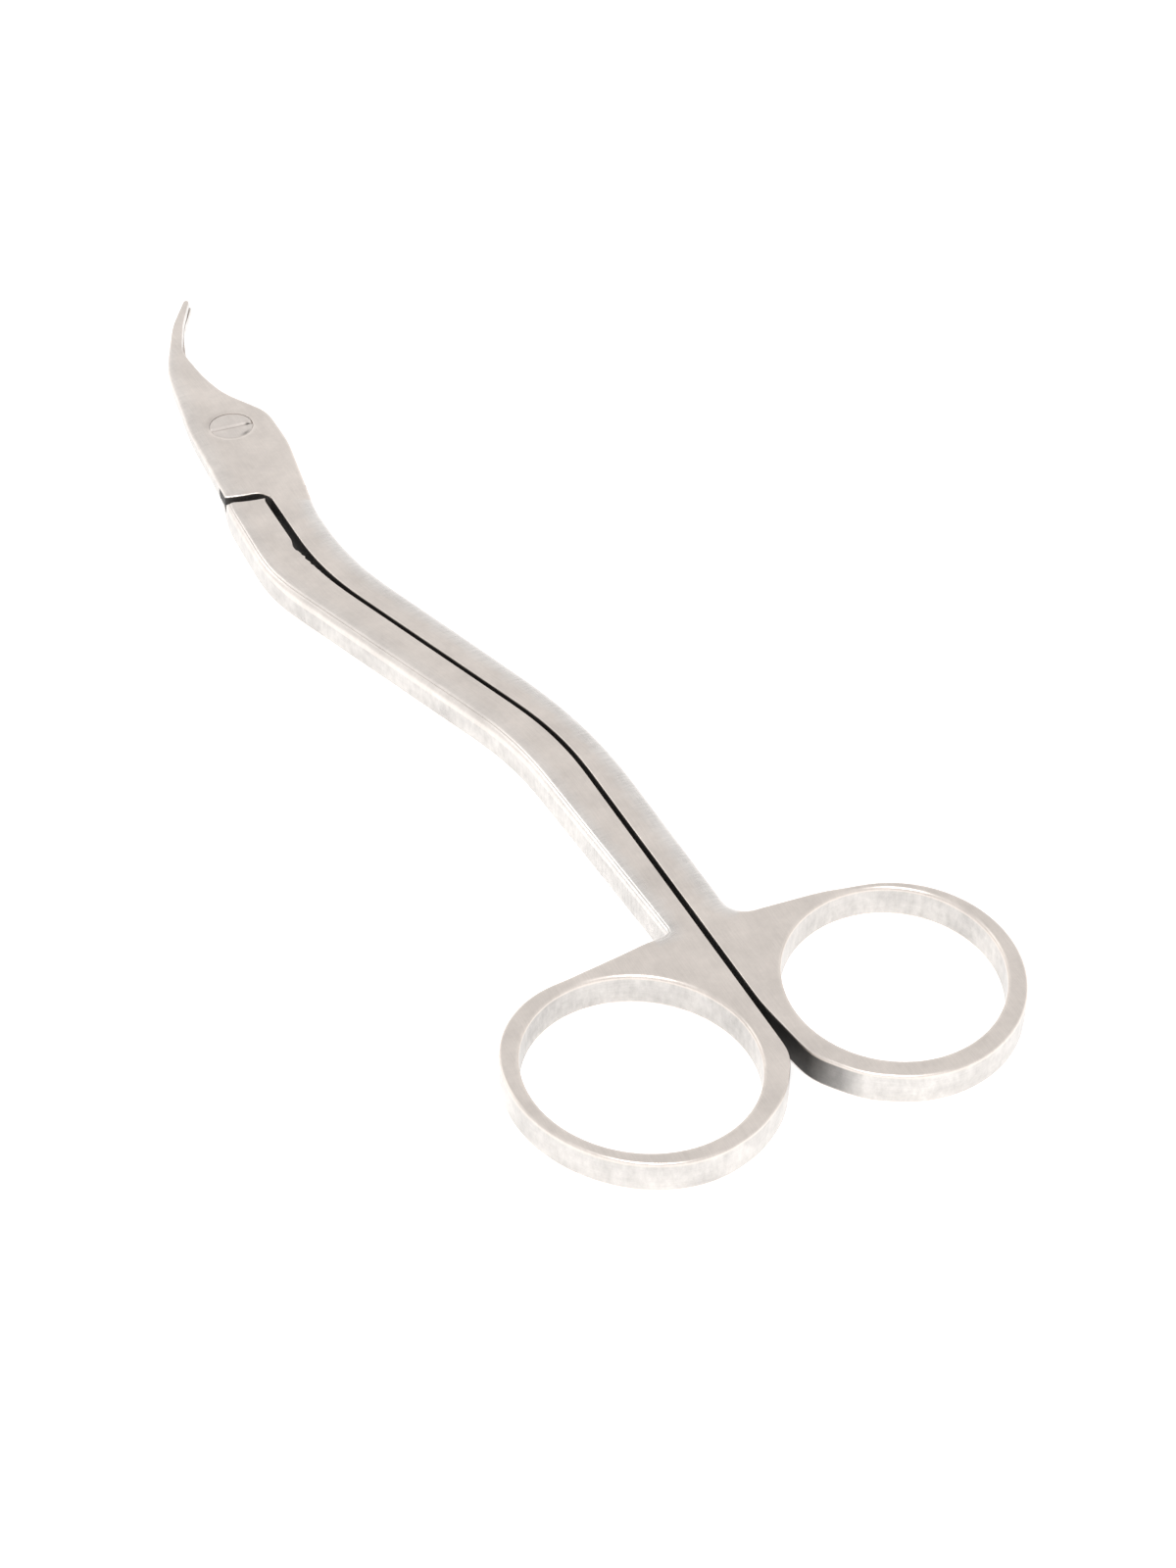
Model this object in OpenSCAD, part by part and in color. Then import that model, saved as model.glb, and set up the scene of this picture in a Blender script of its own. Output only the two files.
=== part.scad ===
// Wick trimmer: two one-piece steel levers crossing at a slotted pivot screw.
// Millimetres. The pivot axis is the Z axis, the underside lies on z = 0,
// +Y runs along the shanks toward the cutting tips. Modelled closed.

/* [Thickness] */
// Full thickness of the shanks and finger rings
lever_t = 4.2; // [3.5:0.1:5.2]
// Thickness of each blade at the very tip
tip_t = 1; // [0.6:0.1:1.5]
// Clearance between the two half-thickness joint plates
plate_gap = 0.1; // [0.05:0.05:0.3]

/* [Lengths along the trimmer] */
// Distance from the pivot back to the finger ring centres
ring_y = 126.8; // [106:0.2:152]
// Distance from the pivot back to the first bend
bend_low_y = 76; // [64:1:90]
// Distance from the pivot back to the second bend
bend_up_y = 34; // [30:1:40]
// Distance from the pivot forward to the tips
tip_y = 33.5; // [28:0.5:40]

/* [Shanks] */
// How far the closed gap line runs to the right of the pivot at the rings
low_x = 12.2; // [8:0.2:15]
// How far the closed gap line runs to the left of the pivot at the joint
up_x = 1.6; // [1:0.1:2.4]
// Width of the right shank, measured from the gap line
right_w = 4.1; // [3.4:0.1:5]
// Width of the left shank, measured from the gap line
left_w = 4.8; // [4:0.1:5.7]
// Half of the open gap between the closed shanks
gap_half = 0.3; // [0.2:0.05:0.5]
// Radius of the S bends on the gap line
bend_r = 46; // [25:1:60]

/* [Finger rings] */
// Half of the long inside size of each finger ring
ring_a = 13; // [10.8:0.1:15.4]
// Half of the short inside size of each finger ring
ring_b = 12.1; // [10:0.1:12.8]
// Finger hole centre distance from the gap line, the mean of the two
ring_x = 15.1; // [14.6:0.1:18]
// How far both finger holes sit to the right of even spacing
hole_shift = 0.3; // [0:0.1:0.6]
// Mean width of the band round each finger hole
ring_band = 1.9; // [1.7:0.1:2.3]
// Lean of the right hole's long axis away from the gap line, in degrees
right_lean = 25; // [0:1:40]
// Lean of the left hole's long axis away from the gap line, in degrees
left_lean = 27; // [0:1:40]

/* [Joint] */
// Half width of the joint plates at the pivot
joint_w = 5.6; // [4.8:0.1:6.6]
// Radius of the heel of each joint plate about the pivot
heel_r = 16; // [13.5:0.25:18]
// Clearance between a heel and the shoulder it swings past
heel_gap = 1.4; // [0.8:0.1:2]

/* [Pivot screw] */
// Diameter of the screw shank, the same in the threaded lever
screw_d = 3.2; // [2.6:0.1:3.8]
// Diameter of the screw head
head_d = 5.6; // [4.6:0.1:6.8]
// Height of the screw head
head_h = 1; // [0.8:0.1:1.2]
// Radial running clearance of the upper lever on the screw
bore_clear = 0.05; // [0.02:0.01:0.1]
// Radial clearance of the recess round the screw head
recess_clear = 0.1; // [0.05:0.05:0.5]
// Width of the driver slot
slot_w = 0.8; // [0.6:0.1:1]

/* [Hidden] */
eps = 1;
steps = 6;
mid_z = lever_t / 2;
shoulder_r = heel_r + heel_gap;
ring_cy = -ring_y;
arm_y = ring_cy + ring_a + 2.2;
// Outside of each ring against its hole: shift in x and y, change of the band on the long
// and the short axis, lean in degrees
right_rim = [0.1, -0.8, -0.25, -0.3, 30];
left_rim = [-0.7, -0.3, 0.05, -1.2, 29.5];
steel = [0.80, 0.78, 0.75];

// ---- plan curves ----

function unit(v) = v / norm(v);
function turn(a) = a > 180 ? a - 360 : a < -180 ? a + 360 : a;

// Arc of radius r tangent to the two lines that meet at point b
function corner(a, b, c, r) = r == 0 ? [b] : let(
    u = unit(a - b),
    w = unit(c - b),
    half = acos(u * w) / 2,
    centre = b + unit(u + w) * r / sin(half),
    p = b + u * r / tan(half) - centre,
    q = b + w * r / tan(half) - centre,
    a0 = atan2(p[1], p[0]),
    da = turn(atan2(q[1], q[0]) - a0)
  ) [for (i = [0 : steps]) centre + r * [cos(a0 + da * i / steps), sin(a0 + da * i / steps)]];

// Closed outline through points [x, y, corner radius]
function rounded(p) = let(n = len(p)) [
  for (i = [0 : n - 1])
    each corner(xy(p[(i + n - 1) % n]), xy(p[i]), xy(p[(i + 1) % n]), p[i][2])
];
function xy(p) = [p[0], p[1]];

// Where the vertical line x meets the slanting middle run shifted sideways by off
slant = atan2(low_x + up_x, bend_low_y - bend_up_y);
function on_mid(x, off) = -bend_low_y + (low_x - x + off / cos(slant)) / tan(slant);

// Tilted ellipse
function oval(a, b, tilt) = [
  for (i = [0 : 71]) let(t = i * 5, x = b * cos(t), y = a * sin(t))
    [x * cos(tilt) + y * sin(tilt), y * cos(tilt) - x * sin(tilt)]
];

// Points of a heel arc about the pivot, angles measured from straight back
function heel(a0, a1) = [
  for (i = [0 : 4]) let(t = a0 + (a1 - a0) * i / 4) [heel_r * sin(t), -heel_r * cos(t), 0]
];
heel_out = 23.4;
heel_in = 14.5;

// Right lever: ring arm, right shank, joint plate, upper blade
right_outline = rounded(concat([
  [low_x + gap_half + 0.1, ring_cy + 2, 20],
  [low_x + 1.5, ring_cy - 6.8, 6],
  [low_x + 5.5, ring_cy - 12.1, 10],
  [low_x + 8.8, ring_cy - 13.7, 0],
  [low_x + ring_x + 1, ring_cy, 0],
  [low_x + ring_x + 3.6, ring_cy + 13.3, 0],
  [low_x + ring_x - 0.5, arm_y - 0.9, 15],
  [low_x + right_w, arm_y, 2.8],
  [low_x + right_w, on_mid(low_x + right_w, right_w), bend_r + 30],
  [right_w + 0.6 - up_x, on_mid(right_w + 0.6 - up_x, right_w + 0.4), bend_r],
  [right_w + 0.6 - up_x, -22.5, 25],
  [joint_w, -6.5, 20],
  [joint_w, 1.2, 5],
  [joint_w - 3.8, 7.8, 8],
  [0.8, 13, 20],
  [0.4, 20.5, 6],
  [3.1, tip_y - 6, 15],
  [6, tip_y - 0.5, 0.3],
  [5.4, tip_y, 0.3],
  [1.6, tip_y - 6, 20],
  [-3.1, 17, 30],
  [0.1 - joint_w, 1, 40]],
  heel(-heel_out, -heel_in),
  [[gap_half + 0.2 - up_x, -heel_r, 2.3],
  [gap_half + 0.2 - up_x, on_mid(gap_half + 0.2 - up_x, gap_half), bend_r],
  [low_x + gap_half, on_mid(low_x + gap_half, gap_half), bend_r]]
));

// Left lever: ring arm, left shank, joint plate, lower blade
left_outline = rounded(concat([
  [low_x - gap_half, on_mid(low_x - gap_half, -gap_half), bend_r],
  [-gap_half - 0.2 - up_x, on_mid(-gap_half - 0.2 - up_x, -gap_half), bend_r],
  [-gap_half - 0.2 - up_x, -heel_r, 2.3]],
  heel(heel_in - 12, heel_out - 9),
  [[joint_w - 0.4, -6, 20],
  [joint_w - 0.4, 1, 5],
  [joint_w - 4, 7.6, 8],
  [0.7, 13, 15],
  [0.8, 20, 8],
  [2.8, tip_y - 6.5, 15],
  [6.2, tip_y - 0.6, 0.3],
  [5.5, tip_y - 0.1, 0.3],
  [1.5, tip_y - 6.5, 15],
  [-1.6, 18.5, 15],
  [-2.6, 10, 12],
  [0.9 - joint_w, 3.5, 3],
  [0.6 - joint_w, -8, 20],
  [-left_w - 0.6 - up_x, -17, 15],
  [-left_w - 1.1 - up_x, on_mid(-left_w - 1.1 - up_x, -left_w - 0.4), bend_r - 18],
  [low_x - left_w - 0.7, on_mid(low_x - left_w - 0.7, -left_w), bend_r],
  [low_x - left_w + 1.1, arm_y + 0.7, 0.4],
  [low_x - ring_x + 6, arm_y - 0.1, 30],
  [low_x - ring_x - 3.2, arm_y - 1.2, 0],
  [low_x - ring_x - 1, ring_cy, 0],
  [low_x - 10.6, ring_cy - 14.3, 0],
  [low_x - 8, ring_cy - 13.6, 10],
  [low_x - 3.2, ring_cy - 10.5, 12],
  [low_x - gap_half, ring_cy - 5.8, 4]]
));

// ---- shared shapes ----

// Outside of one finger ring, cut off at the gap; side is 1 for the right lever, -1 for the left
module ring_plan(side, rim) {
  intersection() {
    translate([low_x + hole_shift + side * ring_x + rim[0], ring_cy + rim[1]])
      polygon(oval(ring_a + ring_band + rim[2], ring_b + ring_band + rim[3], side * rim[4]));
    translate([low_x + side * (gap_half + 30), ring_cy])
      square(60, center = true);
  }
}

// Finger opening of one ring, cut through both faces
module ring_hole(side, lean) {
  translate([low_x + hole_shift + side * ring_x, ring_cy, -eps])
    linear_extrude(lever_t + 2 * eps)
      polygon(oval(ring_a, ring_b, side * lean));
}

// Room for the other lever's joint plate and blade, from z0 to z1
module joint_room(z0, z1) {
  translate([0, 0, z0])
    cylinder(r = shoulder_r, h = z1 - z0, $fn = 96);
  translate([-30, -10, z0])
    cube([60, tip_y + 20, z1 - z0]);
}

// Wedge above the blade, hinged where the taper starts
module blade_taper() {
  taper_y = 8;
  translate([0, taper_y, lever_t])
    rotate([-atan2(mid_z - tip_t, tip_y - taper_y), 0, 0])
      translate([-20, 0, 0])
        cube([40, 40, 6]);
}

// ---- pieces ----

// Lower lever: full thickness ring and shank, plate and blade in the lower half
module left_lever() {
  color(steel)
    difference() {
      linear_extrude(lever_t)
        union() {
          polygon(left_outline);
          ring_plan(-1, left_rim);
        }
      ring_hole(-1, left_lean);
      joint_room(mid_z - plate_gap / 2, lever_t + eps);
      translate([0, 0, lever_t])
        mirror([0, 0, 1])
          blade_taper();
      translate([0, 0, -eps])
        cylinder(d = screw_d, h = lever_t, $fn = 64);
    }
}

// Upper lever: full thickness ring and shank, plate and blade in the upper half
module right_lever() {
  color(steel)
    difference() {
      linear_extrude(lever_t)
        union() {
          polygon(right_outline);
          ring_plan(1, right_rim);
        }
      ring_hole(1, right_lean);
      joint_room(-eps, mid_z + plate_gap / 2);
      blade_taper();
      cylinder(d = screw_d + 2 * bore_clear, h = lever_t + eps, $fn = 64);
      translate([0, 0, lever_t - head_h - plate_gap / 2])
        cylinder(d = head_d + 2 * recess_clear, h = head_h + eps, $fn = 64);
    }
}

// Slotted cheese-head screw, threaded into the lower lever and flush underneath
module pivot_screw() {
  color(steel)
    difference() {
      union() {
        cylinder(d = screw_d, h = lever_t - eps / 2, $fn = 64);
        translate([0, 0, lever_t - head_h])
          cylinder(d = head_d, h = head_h, $fn = 64);
      }
      translate([0, 0, lever_t])
        rotate([0, 0, -4])
          cube([head_d + 1, slot_w, head_h], center = true);
    }
}

left_lever();
right_lever();
pivot_screw();
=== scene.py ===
import math

import bpy
import numpy as np
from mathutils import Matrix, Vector
from mathutils.geometry import delaunay_2d_cdt


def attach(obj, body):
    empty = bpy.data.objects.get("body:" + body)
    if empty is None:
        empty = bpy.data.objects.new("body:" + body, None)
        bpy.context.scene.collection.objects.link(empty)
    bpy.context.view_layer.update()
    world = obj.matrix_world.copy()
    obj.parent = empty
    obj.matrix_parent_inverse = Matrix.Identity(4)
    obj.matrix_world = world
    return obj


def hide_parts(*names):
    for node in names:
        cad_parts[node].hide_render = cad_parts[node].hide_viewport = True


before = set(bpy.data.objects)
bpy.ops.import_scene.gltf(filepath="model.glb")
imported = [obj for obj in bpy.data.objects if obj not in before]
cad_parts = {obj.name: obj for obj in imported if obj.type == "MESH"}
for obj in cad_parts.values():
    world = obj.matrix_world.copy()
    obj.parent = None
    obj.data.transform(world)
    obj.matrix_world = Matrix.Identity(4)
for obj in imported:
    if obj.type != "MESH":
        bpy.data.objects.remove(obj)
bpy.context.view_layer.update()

# ---------------------------------------------------------------------------
# Left lever. One steel forging: finger ring, long bent shank, and the half
# thickness joint plate and blade that lie underneath. Its outer side is
# ground by hand to a broad roll-off; the edges along the gap are only broken.
# ---------------------------------------------------------------------------

# Sizes are in millimetres, with the pivot at the origin and the tips towards +Y
MM = 0.001
LEVER_T = 4.2
LOWER_FACE = 2.05
SHOULDER_R = 17.4
SHOULDER_BREAK = 0.18
SHOULDER_DROP = 0.12
JOINT_BACK = -9
BLADE_START = 8.0
BLADE_SLOPE = 1.1 / 25.5
FOOT_DROP = 0.3
FOOT_WIDE = 0.35
# A step in height lies between two crease lines STEP apart; points closer than MERGE become one
STEP = 0.03
MERGE = 0.004
# Spacing of points along a rim, rows that follow it as shares of its rolled width, and the levels
# of a side wall from top to foot, which bulges out a little
RIM_PITCH = 0.45
ROWS = np.array([0.03, 0.09, 0.18, 0.28, 0.36, 0.42, 0.48, 0.6, 0.78, 1.0])[:, None]
WALL_LEVELS = np.array([0, 0.05, 0.16, 0.38, 0.62, 0.84, 0.95, 1])
WALL_BULGE = 0.05
WALL_U = 40
SHARP_ANGLE = math.radians(28)
CORNER_ANGLE = math.radians(11)
# Rolled edge of the ground side of the shank: its width and drop at these distances along it
SHANK_Y = [-111, -104, -78, -66, -38, -32, -16]
SHANK_ROLL_W = [1.1, 1.2, 1.3, 1.6, 1.6, 1.3, 1.2]
SHANK_ROLL_H = [0.8, 0.9, 1.1, 1.4, 1.4, 1.0, 0.9]
SATIN = (0.705, 0.645, 0.598)
SATIN_ROUGH = 0.34
GROUND_COLOUR = (0.715, 0.685, 0.66)
WALL_COLOUR = (0.595, 0.57, 0.548)
# The line of the gap between the levers: y, and x at each of them
GAP_X = ([-142, -82, -70, -40, -28, 40], [12.2, 12.2, 10.2, 0.35, -1.6, -1.6])


def outlines(node, facing, pitch=RIM_PITCH):
    """Closed plan outlines of a frame piece, longest first, in millimetres.
    Faces turned up (facing 1) or down (-1) are kept and merged in plan; edges used by one face
    only are chained into loops. The outer loop runs anticlockwise and holes clockwise. Each is cut
    into equal steps of about pitch, and smoothed except near corners."""
    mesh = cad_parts[node].data
    mesh.calc_loop_triangles()
    co = np.empty(len(mesh.vertices) * 3, np.float32)
    mesh.vertices.foreach_get("co", co)
    tri = np.empty(len(mesh.loop_triangles) * 3, np.int32)
    mesh.loop_triangles.foreach_get("vertices", tri)
    co, tri = co.reshape(-1, 3).astype(float) / MM, tri.reshape(-1, 3)
    side = np.cross(co[tri[:, 1]] - co[tri[:, 0]], co[tri[:, 2]] - co[tri[:, 0]])
    side /= np.linalg.norm(side, axis=1)[:, None] + 1e-12
    plan, ids = np.unique(np.round(co[:, :2], 3), axis=0, return_inverse=True)
    tri = ids.reshape(-1)[tri[side[:, 2] * facing > 0.5]]
    edges = np.concatenate([tri[:, [0, 1]], tri[:, [1, 2]], tri[:, [2, 0]]])
    code = edges[:, 0] * len(plan) + edges[:, 1]
    back = edges[:, 1] * len(plan) + edges[:, 0]
    rim = edges[~np.isin(code, back)]
    follow = dict(rim.tolist())
    found = []
    while follow:
        start, here = follow.popitem()
        chain = [start]
        while here in follow:
            chain.append(here)
            here = follow.pop(here)
        found.append(plan[chain])
    found.sort(key=lambda p: -np.ptp(p[:, 1]))
    return [even_steps(p if area(p) * (-1) ** (i > 0) > 0 else p[::-1], pitch) for i, p in enumerate(found)]


def area(p):
    """Signed area of a closed outline by the shoelace sum."""
    q = np.roll(p, -1, 0)
    return 0.5 * np.sum(p[:, 0] * q[:, 1] - q[:, 0] * p[:, 1])


def even_steps(p, pitch):
    """Walks a closed outline in equal steps, then averages each point with its neighbours
    by a bell curve about 1 mm wide. The averaging fades from 2.5 mm to 0.6 mm off a corner."""
    q = np.vstack([p, p[:1]])
    along = np.concatenate([[0], np.cumsum(np.linalg.norm(np.diff(q, axis=0), axis=1))])
    n = int(round(along[-1] / pitch))
    s = np.arange(n) * along[-1] / n
    out = np.stack([np.interp(s, along, q[:, 0]), np.interp(s, along, q[:, 1])], 1)
    ahead = np.roll(p, -1, 0) - p
    behind = p - np.roll(p, 1, 0)
    turn = np.arctan2(behind[:, 0] * ahead[:, 1] - behind[:, 1] * ahead[:, 0], np.sum(ahead * behind, 1))
    corner = along[:-1][np.abs(turn) > CORNER_ANGLE]
    keep = np.ones(n)
    if len(corner):
        gap = np.abs(s[:, None] - corner[None, :])
        gap = np.minimum(gap, along[-1] - gap).min(1)
        keep = np.clip((gap - 0.6) / 1.9, 0, 1)
    step = along[-1] / n
    reach = np.arange(-6, 7)
    bell = np.exp(-0.5 * (reach * step / 0.9) ** 2)
    soft = sum(w * np.roll(out, -k, 0) for k, w in zip(reach.tolist(), bell / bell.sum()))
    return out + keep[:, None] * (soft - out)


def into_steel(p):
    """Unit normals of a loop pointing into the steel, from the chord between the neighbours."""
    t = np.roll(p, -1, 0) - np.roll(p, 1, 0)
    t /= np.linalg.norm(t, axis=1)[:, None]
    return np.stack([-t[:, 1], t[:, 0]], 1)


def nearest(points, rim):
    """Distance from each point to the nearest rim point, and that rim point's number."""
    dist, near = np.empty(len(points)), np.empty(len(points), int)
    for part in np.array_split(np.arange(len(points)), max(1, len(points) // 2000)):
        gap = np.hypot(points[part, 0][:, None] - rim[:, 0], points[part, 1][:, None] - rim[:, 1])
        near[part] = gap.argmin(1)
        dist[part] = gap.min(1)
    return dist, near


def inside(points, loops):
    """True where a ray from the point crosses the loops an odd number of times."""
    hits = np.zeros(len(points), int)
    for p in loops:
        q = np.roll(p, -1, 0)
        x, y = points[:, :1], points[:, 1:]
        span = (p[:, 1] > y) != (q[:, 1] > y)
        with np.errstate(divide="ignore", invalid="ignore"):
            cut = p[:, 0] + (y - p[:, 1]) * (q[:, 0] - p[:, 0]) / (q[:, 1] - p[:, 1])
        hits += (span & (x < cut)).sum(1)
    return hits % 2 == 1


def wander(s, seed, size=1.0):
    """Slow hand-made irregularity along a length s: five equal sine waves of random length and
    phase, added up to about -1 to 1."""
    rng = np.random.default_rng(seed)
    wave = rng.uniform(4, 30, 5) * size
    phase = rng.uniform(0, 6.28, 5)
    return sum(np.sin(6.28 * s / w + f) for w, f in zip(wave, phase)) / 3.2


def steel_piece(name, loops, inset, lines, top, foot, masks, pitch=1.1):
    """A closed solid from plan loops. Rows at the given insets (rows by rim points) follow each rim,
    lines are extra crease lines, and a grid of points pitch apart fills the middle; a Delaunay net
    joins them. top and foot give the height of the upper and lower face at (points, distance from
    the rim, nearest rim point), and a wall of seven rows joins the two along every rim. masks are
    point attributes, each from (points, distance, nearest rim point, height); a wall has no
    distance."""
    rim = np.concatenate(loops)
    inward = np.concatenate([into_steel(p) for p in loops])
    starts = np.cumsum([0] + [len(p) for p in loops])
    along = np.concatenate([np.arange(len(p)) * np.linalg.norm(p[1] - p[0]) for p in loops])
    points, edges = [rim], []
    for a, b in zip(starts[:-1].tolist(), starts[1:].tolist()):
        i = np.arange(a, b)
        edges.append(np.stack([i, np.roll(i, -1)], 1))
    count = len(rim)
    for row in inset:
        p = rim + inward * row[:, None]
        d, _ = nearest(p, rim)
        ok = (d > row * 0.97 - 0.02) & (row > 0)
        number = np.where(ok, count + np.cumsum(ok) - 1, -1)
        for a, b in zip(starts[:-1].tolist(), starts[1:].tolist()):
            pair = np.stack([number[a:b], np.roll(number[a:b], -1)], 1)
            edges.append(pair[(pair >= 0).all(1)])
        points.append(p[ok])
        count += int(ok.sum())
    for line in lines:
        closed = np.hypot(*(line[0] - line[-1])) < MERGE
        line = line[:-1] if closed else line
        i = np.arange(count, count + len(line))
        pair = np.stack([i, np.roll(i, -1)], 1)
        edges.append(pair if closed else pair[:-1])
        points.append(line)
        count += len(line)
    lo, hi = rim.min(0), rim.max(0)
    gx, gy = np.meshgrid(np.arange(lo[0], hi[0], pitch), np.arange(lo[1], hi[1], pitch))
    grid = np.stack([gx.ravel() + (np.arange(gx.size) // gx.shape[1] % 2) * pitch / 2, gy.ravel()], 1)
    d, near = nearest(grid, rim)
    wide = inset.max(0)
    clear = 0.35 * pitch
    far = (d > wide[near] + clear) & inside(grid, loops)
    if lines:
        far &= nearest(grid, np.concatenate(lines))[0] > clear
    points.append(grid[far])
    points, edges = np.concatenate(points).tolist(), np.concatenate(edges).tolist()
    net = delaunay_2d_cdt(points, edges, [], 0, MERGE, False)
    co = np.array([tuple(v) for v in net[0]])
    tri = np.array(net[2])
    tri = tri[inside(co[tri].mean(1), loops)]
    used, tri = np.unique(tri, return_inverse=True)
    co, tri = co[used], tri.reshape(-1, 3)
    flat = co[tri]
    upside_down = np.cross(flat[:, 1] - flat[:, 0], flat[:, 2] - flat[:, 0]) < 0
    tri[upside_down] = tri[upside_down][:, ::-1]
    d, near = nearest(co, rim)
    side = np.concatenate([tri[:, [0, 1]], tri[:, [1, 2]], tri[:, [2, 0]]])
    n = len(co)
    lone = side[~np.isin(side[:, 0] * n + side[:, 1], side[:, 1] * n + side[:, 0])]
    at_rim = np.unique(lone)
    d[at_rim] = 0
    z_top, z_foot = top(co, d, near), foot(co, d, near)
    ring = np.full(n, -1)
    ring[at_rim] = np.arange(len(at_rim))
    m = len(at_rim)
    out = -inward[near[at_rim]]
    wall_co = []
    for t in WALL_LEVELS[1:-1].tolist():
        bulge = 4 * t * (1 - t) * WALL_BULGE
        z = z_top[at_rim] * (1 - t) + z_foot[at_rim] * t
        wall_co.append(np.column_stack([co[at_rim] + out * bulge, z]))
    verts = np.concatenate([np.column_stack([co, z_top]), np.column_stack([co, z_foot])] + wall_co)
    rows = [at_rim] + [2 * n + k * m + np.arange(m) for k in range(len(wall_co))] + [at_rim + n]
    a, b = ring[lone[:, 0]], ring[lone[:, 1]]
    quads = np.concatenate([np.stack([u[a], v[a], v[b], u[b]], 1) for u, v in zip(rows[:-1], rows[1:])])
    faces = tri.tolist() + (tri[:, ::-1] + n).tolist() + quads.tolist()
    mesh = bpy.data.meshes.new(name)
    mesh.from_pydata((verts * MM).tolist(), [], faces)
    s_rim = along[near[at_rim]]
    own_loop = np.searchsorted(starts[1:], near[at_rim], side="right")
    loop_len = along[starts[1:] - 1][own_loop]
    sa, sb = s_rim[a], s_rim[b]
    sb = np.where(np.abs(sb - sa) > loop_len[a] / 2, sb + np.sign(sa - sb) * loop_len[a], sb)
    x_gap = np.interp(co[:, 1], *GAP_X)
    cap_uv = np.column_stack([co[:, 0] - x_gap, co[:, 1]])
    wall_uv = []
    levels = [z_top[at_rim]] + [w[:, 2] for w in wall_co] + [z_foot[at_rim]]
    for u, v in zip(levels[:-1], levels[1:]):
        corners = ((u[a], sa), (v[a], sa), (v[b], sb), (u[b], sb))
        quad_uv = np.stack([np.stack([level + WALL_U, s], 1) for level, s in corners], 1)
        wall_uv.append(quad_uv.reshape(-1, 2))
    uv = np.concatenate([cap_uv[tri].reshape(-1, 2), cap_uv[tri[:, ::-1]].reshape(-1, 2)] + wall_uv)
    mesh.uv_layers.new(name="along").data.foreach_set("uv", (uv * MM).astype(np.float32).ravel())
    for key, field in masks.items():
        value = field(co, d, near, z_top)
        wall = field(co[at_rim], None, near[at_rim], z_top[at_rim])
        data = np.concatenate([value, field(co, d, near, z_foot)] + [wall] * len(wall_co))
        mesh.attributes.new(key, "FLOAT", "POINT").data.foreach_set("value", data.astype(np.float32))
    mesh.shade_smooth()
    mesh.set_sharp_from_angle(angle=SHARP_ANGLE)
    mesh.validate()
    piece = bpy.data.objects.new(name, mesh)
    bpy.context.scene.collection.objects.link(piece)
    return piece


def rolled(d, near, width, depth, crease=0.0):
    """Drop of a face near its rim: nothing beyond width, then a quarter of an ellipse down to the
    full depth at the rim. A wide roll has a fine groove of depth crease a little over half way
    out."""
    t = np.clip(d / width[near], 0, 1)
    groove = np.exp(-((t - 0.42) / 0.05) ** 2) * crease * np.clip(width[near] - 0.6, 0, 1)
    return depth[near] * (1 - np.sqrt(1 - (1 - t) ** 2)) + groove


def nicked(p):
    """A rough nick in the gap edge just below the heel: a short bell, deepest 29 mm from the pivot,
    with a shallower uneven tail."""
    on_edge = (p[:, 0] > np.interp(p[:, 1], *GAP_X) - 1.5) & (p[:, 1] < -24) & (p[:, 1] > -38)
    bell = 0.42 * np.exp(-((p[:, 1] + 28.8) / 1.1) ** 2)
    tail = 0.12 * np.exp(-((p[:, 1] + 31.5) / 2.0) ** 2) * (1 + np.sin(p[:, 1] * 5.3))
    return np.where(on_edge, bell + tail, 0)


def eased(values, loops, reach=5):
    """Averages per-rim-point values with their neighbours along each loop, by a bell curve."""
    out, start = [], 0
    half = math.ceil(3 * reach)
    k = np.arange(-half, half + 1)
    bell = np.exp(-0.5 * (k / reach) ** 2)
    bell /= bell.sum()
    for p in loops:
        v = values[start:start + len(p)]
        start += len(p)
        out.append(sum(w * np.roll(v, i) for i, w in zip(k.tolist(), bell.tolist())))
    return np.concatenate(out)


def in_joint(co):
    """True inside the turned room round the pivot and along the blade, where a lever is only half
    as thick."""
    return (np.hypot(co[:, 0], co[:, 1]) < SHOULDER_R - STEP / 2) | (co[:, 1] > JOINT_BACK)


def arc(radius, a0, a1, n=60):
    """Points of an arc about the pivot, angles in degrees from straight back."""
    t = np.radians(np.linspace(a0, a1, n))
    return np.stack([radius * np.sin(t), -radius * np.cos(t)], 1)


def node_group(name, inputs, outputs):
    """An empty shader node group with named inputs (name, kind, value) and outputs (name, kind)."""
    group = bpy.data.node_groups.new(name, "ShaderNodeTree")
    for label, kind, value in inputs:
        group.interface.new_socket(label, in_out="INPUT", socket_type=kind).default_value = value
    for label, kind in outputs:
        group.interface.new_socket(label, in_out="OUTPUT", socket_type=kind)
    return group, group.nodes.new("NodeGroupInput"), group.nodes.new("NodeGroupOutput")


def math_node(tree, kind, a, b=0.0):
    """A Math node; a and b are sockets or numbers."""
    node = tree.nodes.new("ShaderNodeMath")
    node.operation = kind
    for i, v in enumerate((a, b)):
        if hasattr(v, "links"):
            tree.links.new(v, node.inputs[i])
        else:
            node.inputs[i].default_value = v
    return node.outputs[0]


def weighed(tree, start, parts):
    """start plus each part's socket times its number."""
    total = start
    for socket, share in parts:
        total = math_node(tree, "ADD", math_node(tree, "MULTIPLY", socket, share), total)
    return total


def mixed(tree, base, over, factor):
    """A colour that goes from base, a colour or a socket, to the colour over as factor rises."""
    node = tree.nodes.new("ShaderNodeMix")
    node.data_type = "RGBA"
    if hasattr(base, "links"):
        tree.links.new(base, node.inputs["A"])
    else:
        node.inputs["A"].default_value = (*base, 1)
    node.inputs["B"].default_value = (*over, 1)
    tree.links.new(factor, node.inputs["Factor"])
    return node.outputs["Result"]


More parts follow.
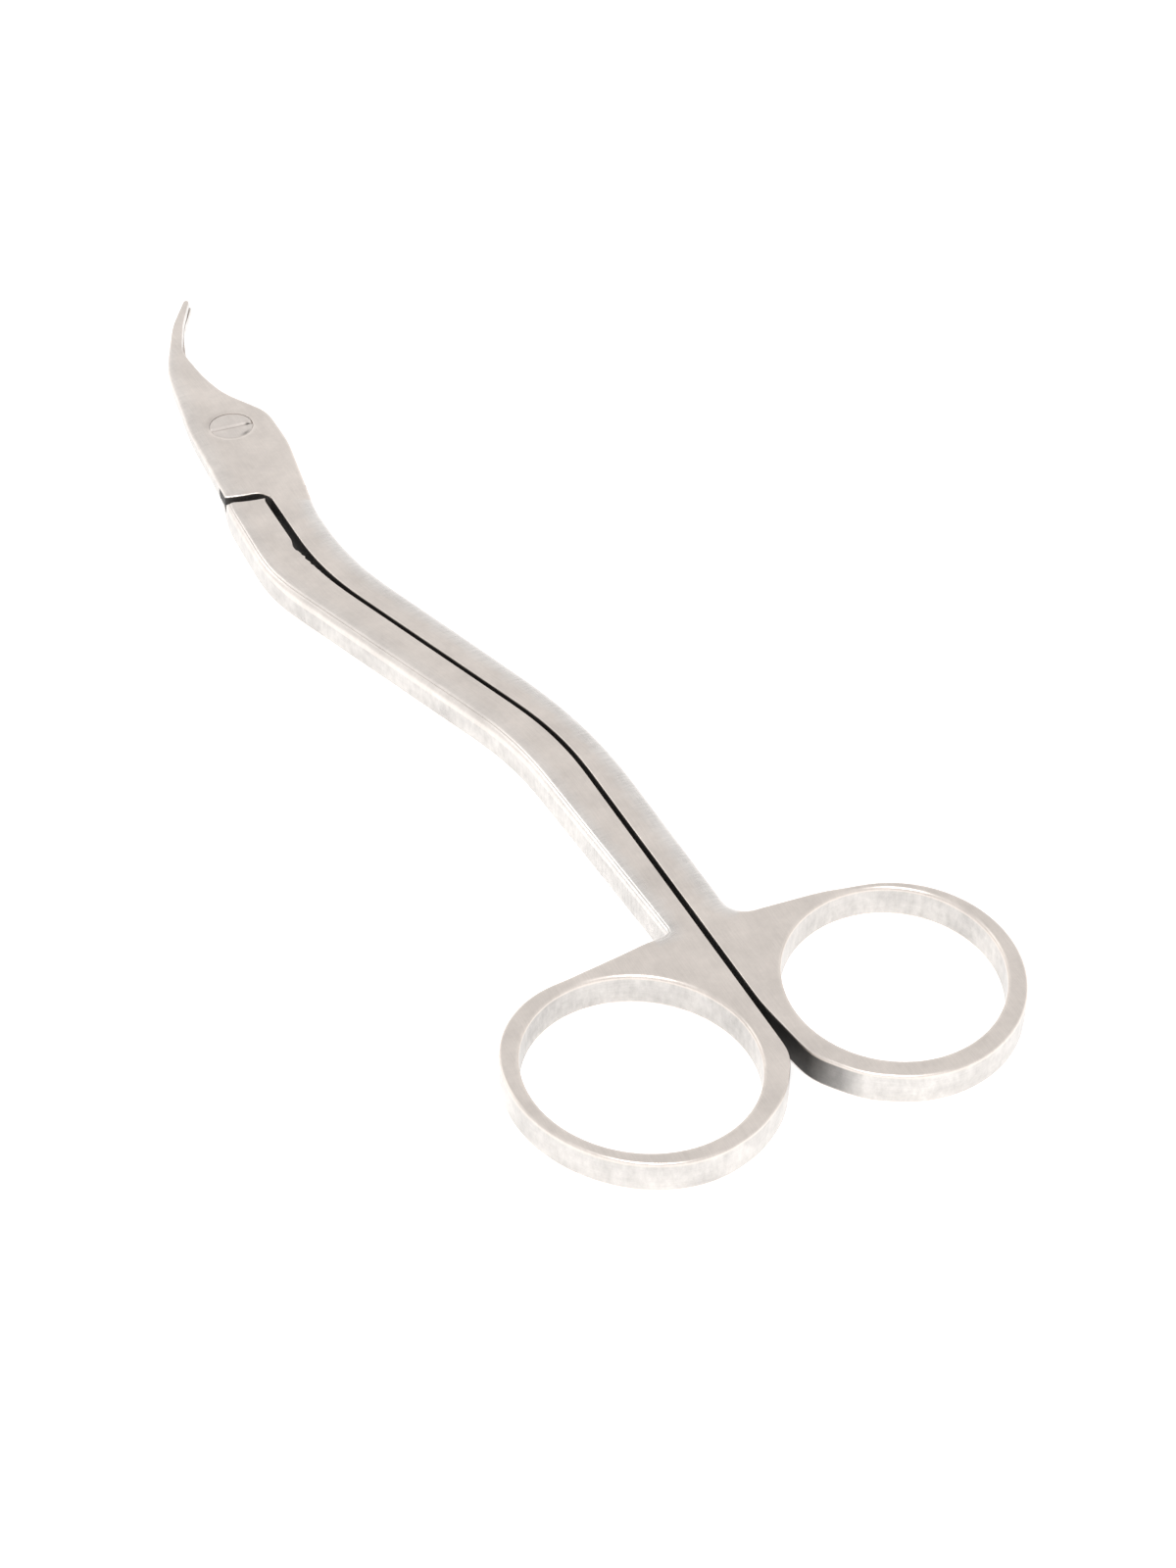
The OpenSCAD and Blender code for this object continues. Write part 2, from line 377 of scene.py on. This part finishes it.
def noise(tree, vector, stretch, detail, rough):
    """A Noise texture stretched by three scales, moved down so that its middle is zero."""
    place = tree.nodes.new("ShaderNodeMapping")
    place.inputs["Scale"].default_value = stretch
    tree.links.new(vector, place.inputs["Vector"])
    node = tree.nodes.new("ShaderNodeTexNoise")
    node.inputs["Scale"].default_value = 1.0
    node.inputs["Detail"].default_value = detail
    node.inputs["Roughness"].default_value = rough
    tree.links.new(place.outputs["Vector"], node.inputs["Vector"])
    return math_node(tree, "SUBTRACT", node.outputs["Fac"], 0.5)


# Grain of belt-ground satin steel: fine lines along the lever, marks across it where a side was
# ground by hand, slow clouds from tumbling, and small scuffs
GRAIN_PARTS = ("Lines", "Across", "Cloud", "Scuff")
grain, grain_in, grain_out = node_group(
    "satin_grain",
    [("Along", "NodeSocketVector", (0, 0, 0)), ("Place", "NodeSocketVector", (0, 0, 0))],
    [(label, "NodeSocketFloat") for label in GRAIN_PARTS])
for label, source, stretch, detail, rough in (
        ("Lines", "Along", (7000, 260, 1), 3, 0.6),
        ("Across", "Along", (260, 2600, 1), 4, 0.65),
        ("Cloud", "Place", (190, 190, 190), 5, 0.6),
        ("Scuff", "Place", (1300, 1300, 700), 4, 0.7)):
    grain.links.new(noise(grain, grain_in.outputs[source], stretch, detail, rough), grain_out.inputs[label])


def steel(name, colour, rough):
    """Satin steel: clouds and fine grain in the colour, marks across on ground bands, scuffed and
    greyer walls, painted shade on the walls in the gap and in the screw's recess and slot, and a finger hole
    with streaks whose wall is painted darker as shade."""
    mat = bpy.data.materials.new(name)
    mat.use_nodes = True
    t = mat.node_tree
    bsdf = t.nodes["Principled BSDF"]
    bsdf.inputs["Metallic"].default_value = 1.0
    uv = t.nodes.new("ShaderNodeUVMap")
    uv.uv_map = "along"
    g = t.nodes.new("ShaderNodeGroup")
    g.node_tree = grain
    t.links.new(uv.outputs["UV"], g.inputs["Along"])
    t.links.new(t.nodes.new("ShaderNodeTexCoord").outputs["Object"], g.inputs["Place"])
    lines, across, cloud, scuff = (g.outputs[label] for label in GRAIN_PARTS)
    mask = {}
    for key in ("ground", "gap", "bore_streaks_and_shade", "side"):
        node = t.nodes.new("ShaderNodeAttribute")
        node.attribute_name = key
        mask[key] = node.outputs["Fac"]
    mark = math_node(t, "MULTIPLY", across, mask["ground"])
    speck = math_node(t, "MULTIPLY", scuff, mask["side"])
    streak = math_node(t, "MULTIPLY", across, mask["bore_streaks_and_shade"])
    patch = math_node(t, "MULTIPLY", cloud, mask["side"])
    # The bore mask paints shade onto the finger ring's inner wall, a little all round and most at the far
    # left.
    tone = weighed(t, 1.0, [(lines, 0.20), (cloud, 0.42), (scuff, 0.16), (mark, 0.50), (speck, 0.34),
                            (patch, 0.35), (streak, 0.16), (mask["bore_streaks_and_shade"], -0.07)])
    # The gap mask darkens the colour as painted shade: in the gap between the levers, round the screw's
    # recess and in its slot.
    tone = math_node(t, "MULTIPLY", tone, weighed(t, 1.0, [(mask["gap"], -0.87)]))
    face = mixed(t, colour, GROUND_COLOUR, mask["ground"])
    surface = mixed(t, face, WALL_COLOUR, mask["side"])
    tint = t.nodes.new("ShaderNodeVectorMath")
    tint.operation = "SCALE"
    t.links.new(surface, tint.inputs["Vector"])
    t.links.new(tone, tint.inputs["Scale"])
    t.links.new(tint.outputs["Vector"], bsdf.inputs["Base Color"])
    dullness = weighed(t, rough, [(cloud, 0.25), (mask["ground"], -0.07), (mask["gap"], 0.25)])
    t.links.new(dullness, bsdf.inputs["Roughness"])
    bump = t.nodes.new("ShaderNodeBump")
    bump.inputs["Strength"].default_value = 0.35
    bump.inputs["Distance"].default_value = 0.00006
    relief = weighed(t, 0.0, [(lines, 0.30), (mark, 0.45), (cloud, 0.9), (streak, 0.5), (speck, 0.8)])
    t.links.new(relief, bump.inputs["Height"])
    t.links.new(bump.outputs["Normal"], bsdf.inputs["Normal"])
    return mat


def all_sides(co, d, near, z):
    """1 on the walls, 0 on the flat faces."""
    return np.full(len(co), 1.0 if d is None else 0.0)


left_loops = outlines("left_lever", -1)
left_loops[0] = left_loops[0] + into_steel(left_loops[0]) * nicked(left_loops[0])[:, None]
left_rim = np.concatenate(left_loops)
left_y = left_rim[:, 1]
left_s = np.arange(len(left_rim)) * RIM_PITCH
left_hole = np.arange(len(left_rim)) >= len(left_loops[0])
left_outer = ~left_hole & (left_rim[:, 0] < np.interp(left_y, *GAP_X) - 3)
on_shank = left_outer & (left_y > -111.2) & (left_y < -10)
gap_side = ~left_hole & ~left_outer & (left_y < -14)
left_w = np.where(left_hole, 0.55, 0.45)
left_h = np.where(left_hole, 0.45, 0.38)
left_w = np.where(on_shank, np.interp(left_y, SHANK_Y, SHANK_ROLL_W), left_w)
left_h = np.where(on_shank, np.interp(left_y, SHANK_Y, SHANK_ROLL_H), left_h)
left_w = np.where(gap_side, 0.22, left_w)
left_h = np.where(gap_side, 0.16, left_h)
left_w = eased(left_w, left_loops, 1.5) * (1 + 0.05 * wander(left_s, 3, 2))
left_h = eased(left_h, left_loops, 1.5) * (1 + 0.06 * wander(left_s, 4, 2))


def left_top(co, d, near):
    """Full thickness less the rolled edge, a broken edge along the shoulder, and the plate below it."""
    r = np.hypot(co[:, 0], co[:, 1])
    full = LEVER_T - rolled(d, near, left_w, left_h, 0.1)
    full -= SHOULDER_DROP * np.clip(1 - (r - SHOULDER_R) / SHOULDER_BREAK, 0, 1) * (co[:, 1] < -5)
    return np.where(in_joint(co), LOWER_FACE, full)


def left_foot(co, d, near):
    """Flat underside that rises along the blade, with a broken edge, finer near the tip."""
    edge = FOOT_DROP * np.clip(1 - d / FOOT_WIDE, 0, 1)
    return np.maximum(co[:, 1] - BLADE_START, 0) * BLADE_SLOPE + edge * np.where(co[:, 1] > 20, 0.4, 1)


def ground_left(co, d, near, z):
    """Up to 1 on the hand-ground outer side of the shank, most along the lower run."""
    reach = 1.0 if d is None else np.clip(1.6 - d / left_w[near], 0, 1)
    return on_shank[near] * reach * np.interp(left_y[near], [-95, -72], [0.9, 0.35])


def painted_gap_shade_left(co, d, near, z):
    """1 on the walls that face the other lever, where the shade in the gap is painted into the colour."""
    return (gap_side[near] & (left_y[near] > -130)) * (1.0 if d is None else 0.0) * np.ones(len(co))


def bore_streaks_and_shade_left(co, d, near, z):
    """1 on the forged inner wall of the finger ring, for its streaks and a little painted shade; more at the
    far left, where deeper shade is painted.
    """
    # Painted shade on the far left of the ring's inner wall.
    shade_far_left = np.exp(-((left_rim[near, 0] + 13) / 4.5) ** 2) * (left_y[near] > -129)
    return left_hole[near] * (1.0 if d is None else 0.0) * (1 + 1.8 * shade_far_left)


left = steel_piece(
    "left_lever_steel", left_loops,
    left_w[None, :] * ROWS,
    [arc(r, -40, 10) for r in (SHOULDER_R, SHOULDER_R - STEP, SHOULDER_R + SHOULDER_BREAK)],
    left_top, left_foot,
    {"ground": ground_left, "gap": painted_gap_shade_left, "bore_streaks_and_shade": bore_streaks_and_shade_left, "side": all_sides})
left.data.materials.append(steel("left_satin", SATIN, SATIN_ROUGH))
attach(left, "lower")
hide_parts("left_lever")

# ---------------------------------------------------------------------------
# Right lever. The matching steel forging: its joint plate and blade lie on
# top, and the plate has a round recess, turned for the head of the screw. The
# outer side of the shank is ground, and the plate's left edge is rolled off.
# ---------------------------------------------------------------------------

UPPER_FACE = 2.15
RECESS_R = 2.9
RECESS_FLOOR = 3.15
RIM_DROP = 0.18
RIM_WIDE = 0.75
RECESS_POINTS = 91
# Rolled edges of the joint plate: width and drop at these distances ahead of the pivot
PLATE_LEFT_Y = [-15, -10, 8, 20, 32]
PLATE_LEFT_W = [1.2, 1.7, 1.4, 0.7, 0.3]
PLATE_LEFT_H = [0.3, 0.5, 0.5, 0.35, 0.2]
PLATE_RIGHT_Y = [-15, 6, 20, 32]
PLATE_RIGHT_W = [0.8, 0.6, 0.2, 0.15]
PLATE_RIGHT_H = [0.4, 0.3, 0.1, 0.08]

right_loops = outlines("right_lever", 1)
right_rim = np.concatenate(right_loops)
right_s = np.arange(len(right_rim)) * RIM_PITCH
in_outer = np.arange(len(right_rim)) < len(right_loops[0])
right_x = right_rim[:, 0] - np.interp(right_rim[:, 1], *GAP_X)
right_y = right_rim[:, 1]
right_out = in_outer & (right_y > -111) & (right_y < -20) & (right_x > 1.5)
plate_left = in_outer & (right_y > -15.4) & (right_x < 1) & (right_rim[:, 0] < -1)
plate_right = in_outer & (right_y > -20) & ~plate_left & (right_rim[:, 0] > 0)
right_gap = in_outer & (right_x < 1.5) & (right_y < -15)
right_w = np.where(in_outer, 0.42, 0.55)
right_h = np.where(in_outer, 0.36, 0.45)
right_w = np.where(right_gap, 0.2, right_w)
right_h = np.where(right_gap, 0.15, right_h)
right_w = np.where(right_out, 1.5, right_w)
right_h = np.where(right_out, 0.5, right_h)
right_w = np.where(plate_left, np.interp(right_y, PLATE_LEFT_Y, PLATE_LEFT_W), right_w)
right_h = np.where(plate_left, np.interp(right_y, PLATE_LEFT_Y, PLATE_LEFT_H), right_h)
right_w = np.where(plate_right, np.interp(right_y, PLATE_RIGHT_Y, PLATE_RIGHT_W), right_w)
right_h = np.where(plate_right, np.interp(right_y, PLATE_RIGHT_Y, PLATE_RIGHT_H), right_h)
right_w = eased(right_w, right_loops, 3) * (1 + 0.05 * wander(right_s, 7, 2))
right_h = eased(right_h, right_loops, 3) * (1 + 0.06 * wander(right_s, 8, 2))


def right_top(co, d, near):
    """Full thickness less the rolled edge and the blade's slope, falling to the screw's recess."""
    r = np.hypot(co[:, 0], co[:, 1])
    z = LEVER_T - np.maximum(co[:, 1] - BLADE_START, 0) * BLADE_SLOPE
    z = z - rolled(np.where(r < 3.8, 9, d), near, right_w, right_h)
    z = z - RIM_DROP * np.clip(1 - (r - RECESS_R) / RIM_WIDE, 0, 1) ** 2
    return np.where(r < RECESS_R - STEP / 2, RECESS_FLOOR, z)


def right_foot(co, d, near):
    """Flat underside with a broken edge; the joint plate starts half way up."""
    return np.where(in_joint(co), UPPER_FACE, FOOT_DROP * np.clip(1 - d / FOOT_WIDE, 0, 1))


def ground_right(co, d, near, z):
    """1 on the ground outer side of the shank, and faint along the plate's left side."""
    reach = 1.0 if d is None else np.clip(1.6 - d / right_w[near], 0, 1)
    return (right_out + 0.35 * plate_left)[near] * reach


def painted_gap_shade_right(co, d, near, z):
    """1 on the walls that face the other lever, painted there as the shade in the gap, dying away round the
    foot of the ring as the painted shadow on its wall; a trace of painted shade on the upper left of the
    recess's rim."""
    side = in_outer & (right_y < -12) & ((right_x < 1.5) | ((right_y < -128) & (right_x < 9)))
    # The painted shadow on the ring's wall fades out over about 5 mm towards the foot of the ring.
    fade = np.clip((right_y + 138.2 + 0.4 * wander(right_s, 11, 0.5)) / 5.0, 0, 1) ** 0.7
    if d is None:
        return (side * fade)[near]
    # On the faces: a faint painted shade on the upper left of the recess's rim.
    r = np.hypot(co[:, 0], co[:, 1])
    bearing = np.degrees(np.arctan2(co[:, 1], co[:, 0]))
    return 0.16 * np.exp(-((r - RECESS_R - 0.15) / 0.4) ** 2) * np.exp(-((bearing - 140) / 45) ** 2)


def bore_streaks_and_shade_right(co, d, near, z):
    """1 on the forged inner wall of the finger ring, for its streaks and a little painted shade."""
    return (~in_outer)[near] * (1.0 if d is None else 0.0) * np.ones(len(co))


right = steel_piece(
    "right_lever_steel", right_loops,
    right_w[None, :] * ROWS,
    [arc(SHOULDER_R, -10, 40), arc(SHOULDER_R - STEP, -10, 40),
     arc(RECESS_R - STEP, 0, 360, RECESS_POINTS)]
    + [arc(RECESS_R + RIM_WIDE * t, 0, 360, RECESS_POINTS) for t in (0, 0.2, 0.4, 0.6, 0.8, 1)],
    right_top, right_foot,
    {"ground": ground_right, "gap": painted_gap_shade_right, "bore_streaks_and_shade": bore_streaks_and_shade_right, "side": all_sides})
right.data.materials.append(steel("right_satin", SATIN, SATIN_ROUGH))
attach(right, "upper")
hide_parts("right_lever")

# ---------------------------------------------------------------------------
# Pivot screw. Turned steel with a slotted head that sits in the recess; its
# shank is threaded into the left lever and ends flush underneath.
# ---------------------------------------------------------------------------

HEAD_R = 2.85
SHANK_R = 1.58
HEAD_FOOT = 3.2
SLOT_HALF = 0.55
SLOT_DEEP = 0.28
SLOT_TURN = math.radians(-4)
SLOT_REACH = 2.7
HEAD_EDGE = 0.3
SHANK_END = 0.04
CHAMFER_WIDE = 0.25
CHAMFER_RISE = 0.1

head_loops = [arc(HEAD_R, 0, 360, 97)[:-1]]
head_edge = np.full(len(head_loops[0]), HEAD_EDGE)


def slot_line(offset):
    """A straight line over the head, offset sideways from the slot's centre."""
    t = np.linspace(-SLOT_REACH, SLOT_REACH, 40)
    c, s = math.cos(SLOT_TURN), math.sin(SLOT_TURN)
    return np.stack([t * c - offset * s, t * s + offset * c], 1)


def beside_slot(co):
    """Distance of each point from the slot's centre line, less than 0 on its lower side."""
    return co[:, 1] * math.cos(SLOT_TURN) - co[:, 0] * math.sin(SLOT_TURN)


def screw_top(co, d, near):
    """A worn head: sunk a little and dished to the rim of its recess, with a shallow driver slot
    whose edges are rounded over."""
    r = np.hypot(co[:, 0], co[:, 1])
    z = LEVER_T - RIM_DROP - 0.07 * (1 - (r / HEAD_R) ** 2) - 0.04 * np.clip(1 - d / HEAD_EDGE, 0, 1) ** 2
    slot = np.clip(1 - np.abs(beside_slot(co)) / SLOT_HALF, 0, 1)
    return z - SLOT_DEEP * slot * slot * (3 - 2 * slot)


def painted_head_shade(co, d, near, z):
    """Painted shade in the head: along the slot's lower side and its right end, and the painted
    shadow of the recess's edge on the lower right of the rim; the head's side wall is painted dark too."""
    if d is None:
        # The head's side wall, down in the recess, is painted dark as shade.
        return np.full(len(co), 0.75)
    pit = np.exp(-((co[:, 0] - 2.25) ** 2 + (co[:, 1] + 0.15) ** 2) / 0.09)
    r = np.hypot(co[:, 0], co[:, 1])
    bearing = np.degrees(np.arctan2(co[:, 1], co[:, 0]))
    rim = np.exp(-((r - HEAD_R + 0.25) / 0.22) ** 2) * np.exp(-((bearing + 62) / 16) ** 2)
    below = beside_slot(co) + 0.2
    line = 0.4 * np.exp(-(below / 0.2) ** 2) * np.clip((co[:, 0] + 3) / 3, 0, 1)
    return np.clip(0.9 * pit + 0.6 * rim + line, 0, 1)


def screw_foot(co, d, near):
    """Underside of the head, and in the middle the shank's end with its chamfer."""
    r = np.hypot(co[:, 0], co[:, 1])
    chamfer = CHAMFER_RISE * np.clip((r - SHANK_R + CHAMFER_WIDE) / CHAMFER_WIDE, 0, 1)
    return np.where(r > SHANK_R - STEP / 2, HEAD_FOOT, SHANK_END + chamfer)


screw = steel_piece(
    "pivot_screw_steel", head_loops,
    head_edge[None, :] * np.array([0.25, 0.5, 0.75, 1.0])[:, None],
    [slot_line(SLOT_HALF * t) for t in (-1, -0.8, -0.6, -0.4, -0.2, 0, 0.2, 0.4, 0.6, 0.8, 1)]
    + [arc(SHANK_R, 0, 360, 73), arc(SHANK_R - STEP, 0, 360, 73)],
    screw_top, screw_foot, {"gap": painted_head_shade, "side": all_sides},
    pitch=0.35)
screw.data.materials.append(steel("screw_satin", (0.70, 0.645, 0.605), 0.40))
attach(screw, "lower")
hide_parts("pivot_screw")

# ---------------------------------------------------------------------------
# Table, light and camera. A pale glowing table top under a sky that is
# brightest near the horizon, with one weak soft box at the far left and a
# stronger one in front, both aimed at the middle of the shanks.
# ---------------------------------------------------------------------------

TABLE_HALF = 3
TABLE_TOP = -0.0002
SHANK_MIDDLE = Vector((0.01, -0.06, 0))
LENS = 67.5
SENSOR = 36
CAMERA_PLACE = (-0.0984, -0.3124, 0.2264)
CAMERA_PITCH = math.radians(41.39)
CAMERA_HEADING = (0.435, 0.900)

corners = ((-1, -1), (1, -1), (1, 1), (-1, 1))
table_mesh = bpy.data.meshes.new("table")
table_mesh.from_pydata([(x * TABLE_HALF, y * TABLE_HALF, TABLE_TOP) for x, y in corners], [], [(0, 1, 2, 3)])
table = bpy.data.objects.new("table", table_mesh)
bpy.context.scene.collection.objects.link(table)
pale = bpy.data.materials.new("pale_table")
pale.use_nodes = True
pale_bsdf = pale.node_tree.nodes["Principled BSDF"]
pale_bsdf.inputs["Base Color"].default_value = (0.9, 0.9, 0.9, 1)
pale_bsdf.inputs["Roughness"].default_value = 0.9
pale_bsdf.inputs["Specular IOR Level"].default_value = 0.0
pale_bsdf.inputs["Emission Color"].default_value = (1, 1, 1, 1)
pale_bsdf.inputs["Emission Strength"].default_value = 0.45
table_mesh.materials.append(pale)

world = bpy.data.worlds.new("studio")
bpy.context.scene.world = world
world.use_nodes = True
sky = world.node_tree
direction = sky.nodes.new("ShaderNodeTexCoord")
split = sky.nodes.new("ShaderNodeSeparateXYZ")
sky.links.new(direction.outputs["Object"], split.inputs[0])
height = sky.nodes.new("ShaderNodeMapRange")
height.interpolation_type = "SMOOTHSTEP"
for socket, value in (("From Min", 0.05), ("From Max", 0.62), ("To Min", 1.22), ("To Max", 0.90)):
    height.inputs[socket].default_value = value
sky.links.new(split.outputs["Z"], height.inputs["Value"])
sky.links.new(height.outputs[0], sky.nodes["Background"].inputs["Strength"])
sky.nodes["Background"].inputs["Color"].default_value = (1.0, 1.0, 1.0, 1)
bpy.context.scene.view_settings.view_transform = "Standard"


def soft_box(name, place, size, power):
    """A square area light aimed at the middle of the shanks."""
    data = bpy.data.lights.new(name, "AREA")
    data.shape = "SQUARE"
    data.size = size
    data.energy = power
    lamp = bpy.data.objects.new(name, data)
    lamp.location = place
    lamp.rotation_euler = (SHANK_MIDDLE - Vector(place)).to_track_quat("-Z", "Y").to_euler()
    bpy.context.scene.collection.objects.link(lamp)


soft_box("far_left_box", (-0.78, 0.80, 0.62), 0.5, 1.0)
soft_box("front_box", (-0.36, -0.66, 0.86), 0.4, 4.5)

camera_data = bpy.data.cameras.new("camera")
camera_data.lens = LENS
camera_data.sensor_width = SENSOR
camera = bpy.data.objects.new("camera", camera_data)
ahead = math.cos(CAMERA_PITCH)
look = Vector((CAMERA_HEADING[0] * ahead, CAMERA_HEADING[1] * ahead, -math.sin(CAMERA_PITCH)))
camera.location = CAMERA_PLACE
camera.rotation_euler = look.to_track_quat("-Z", "Y").to_euler()
camera_data.clip_start = 0.01
bpy.context.scene.collection.objects.link(camera)
bpy.context.scene.camera = camera
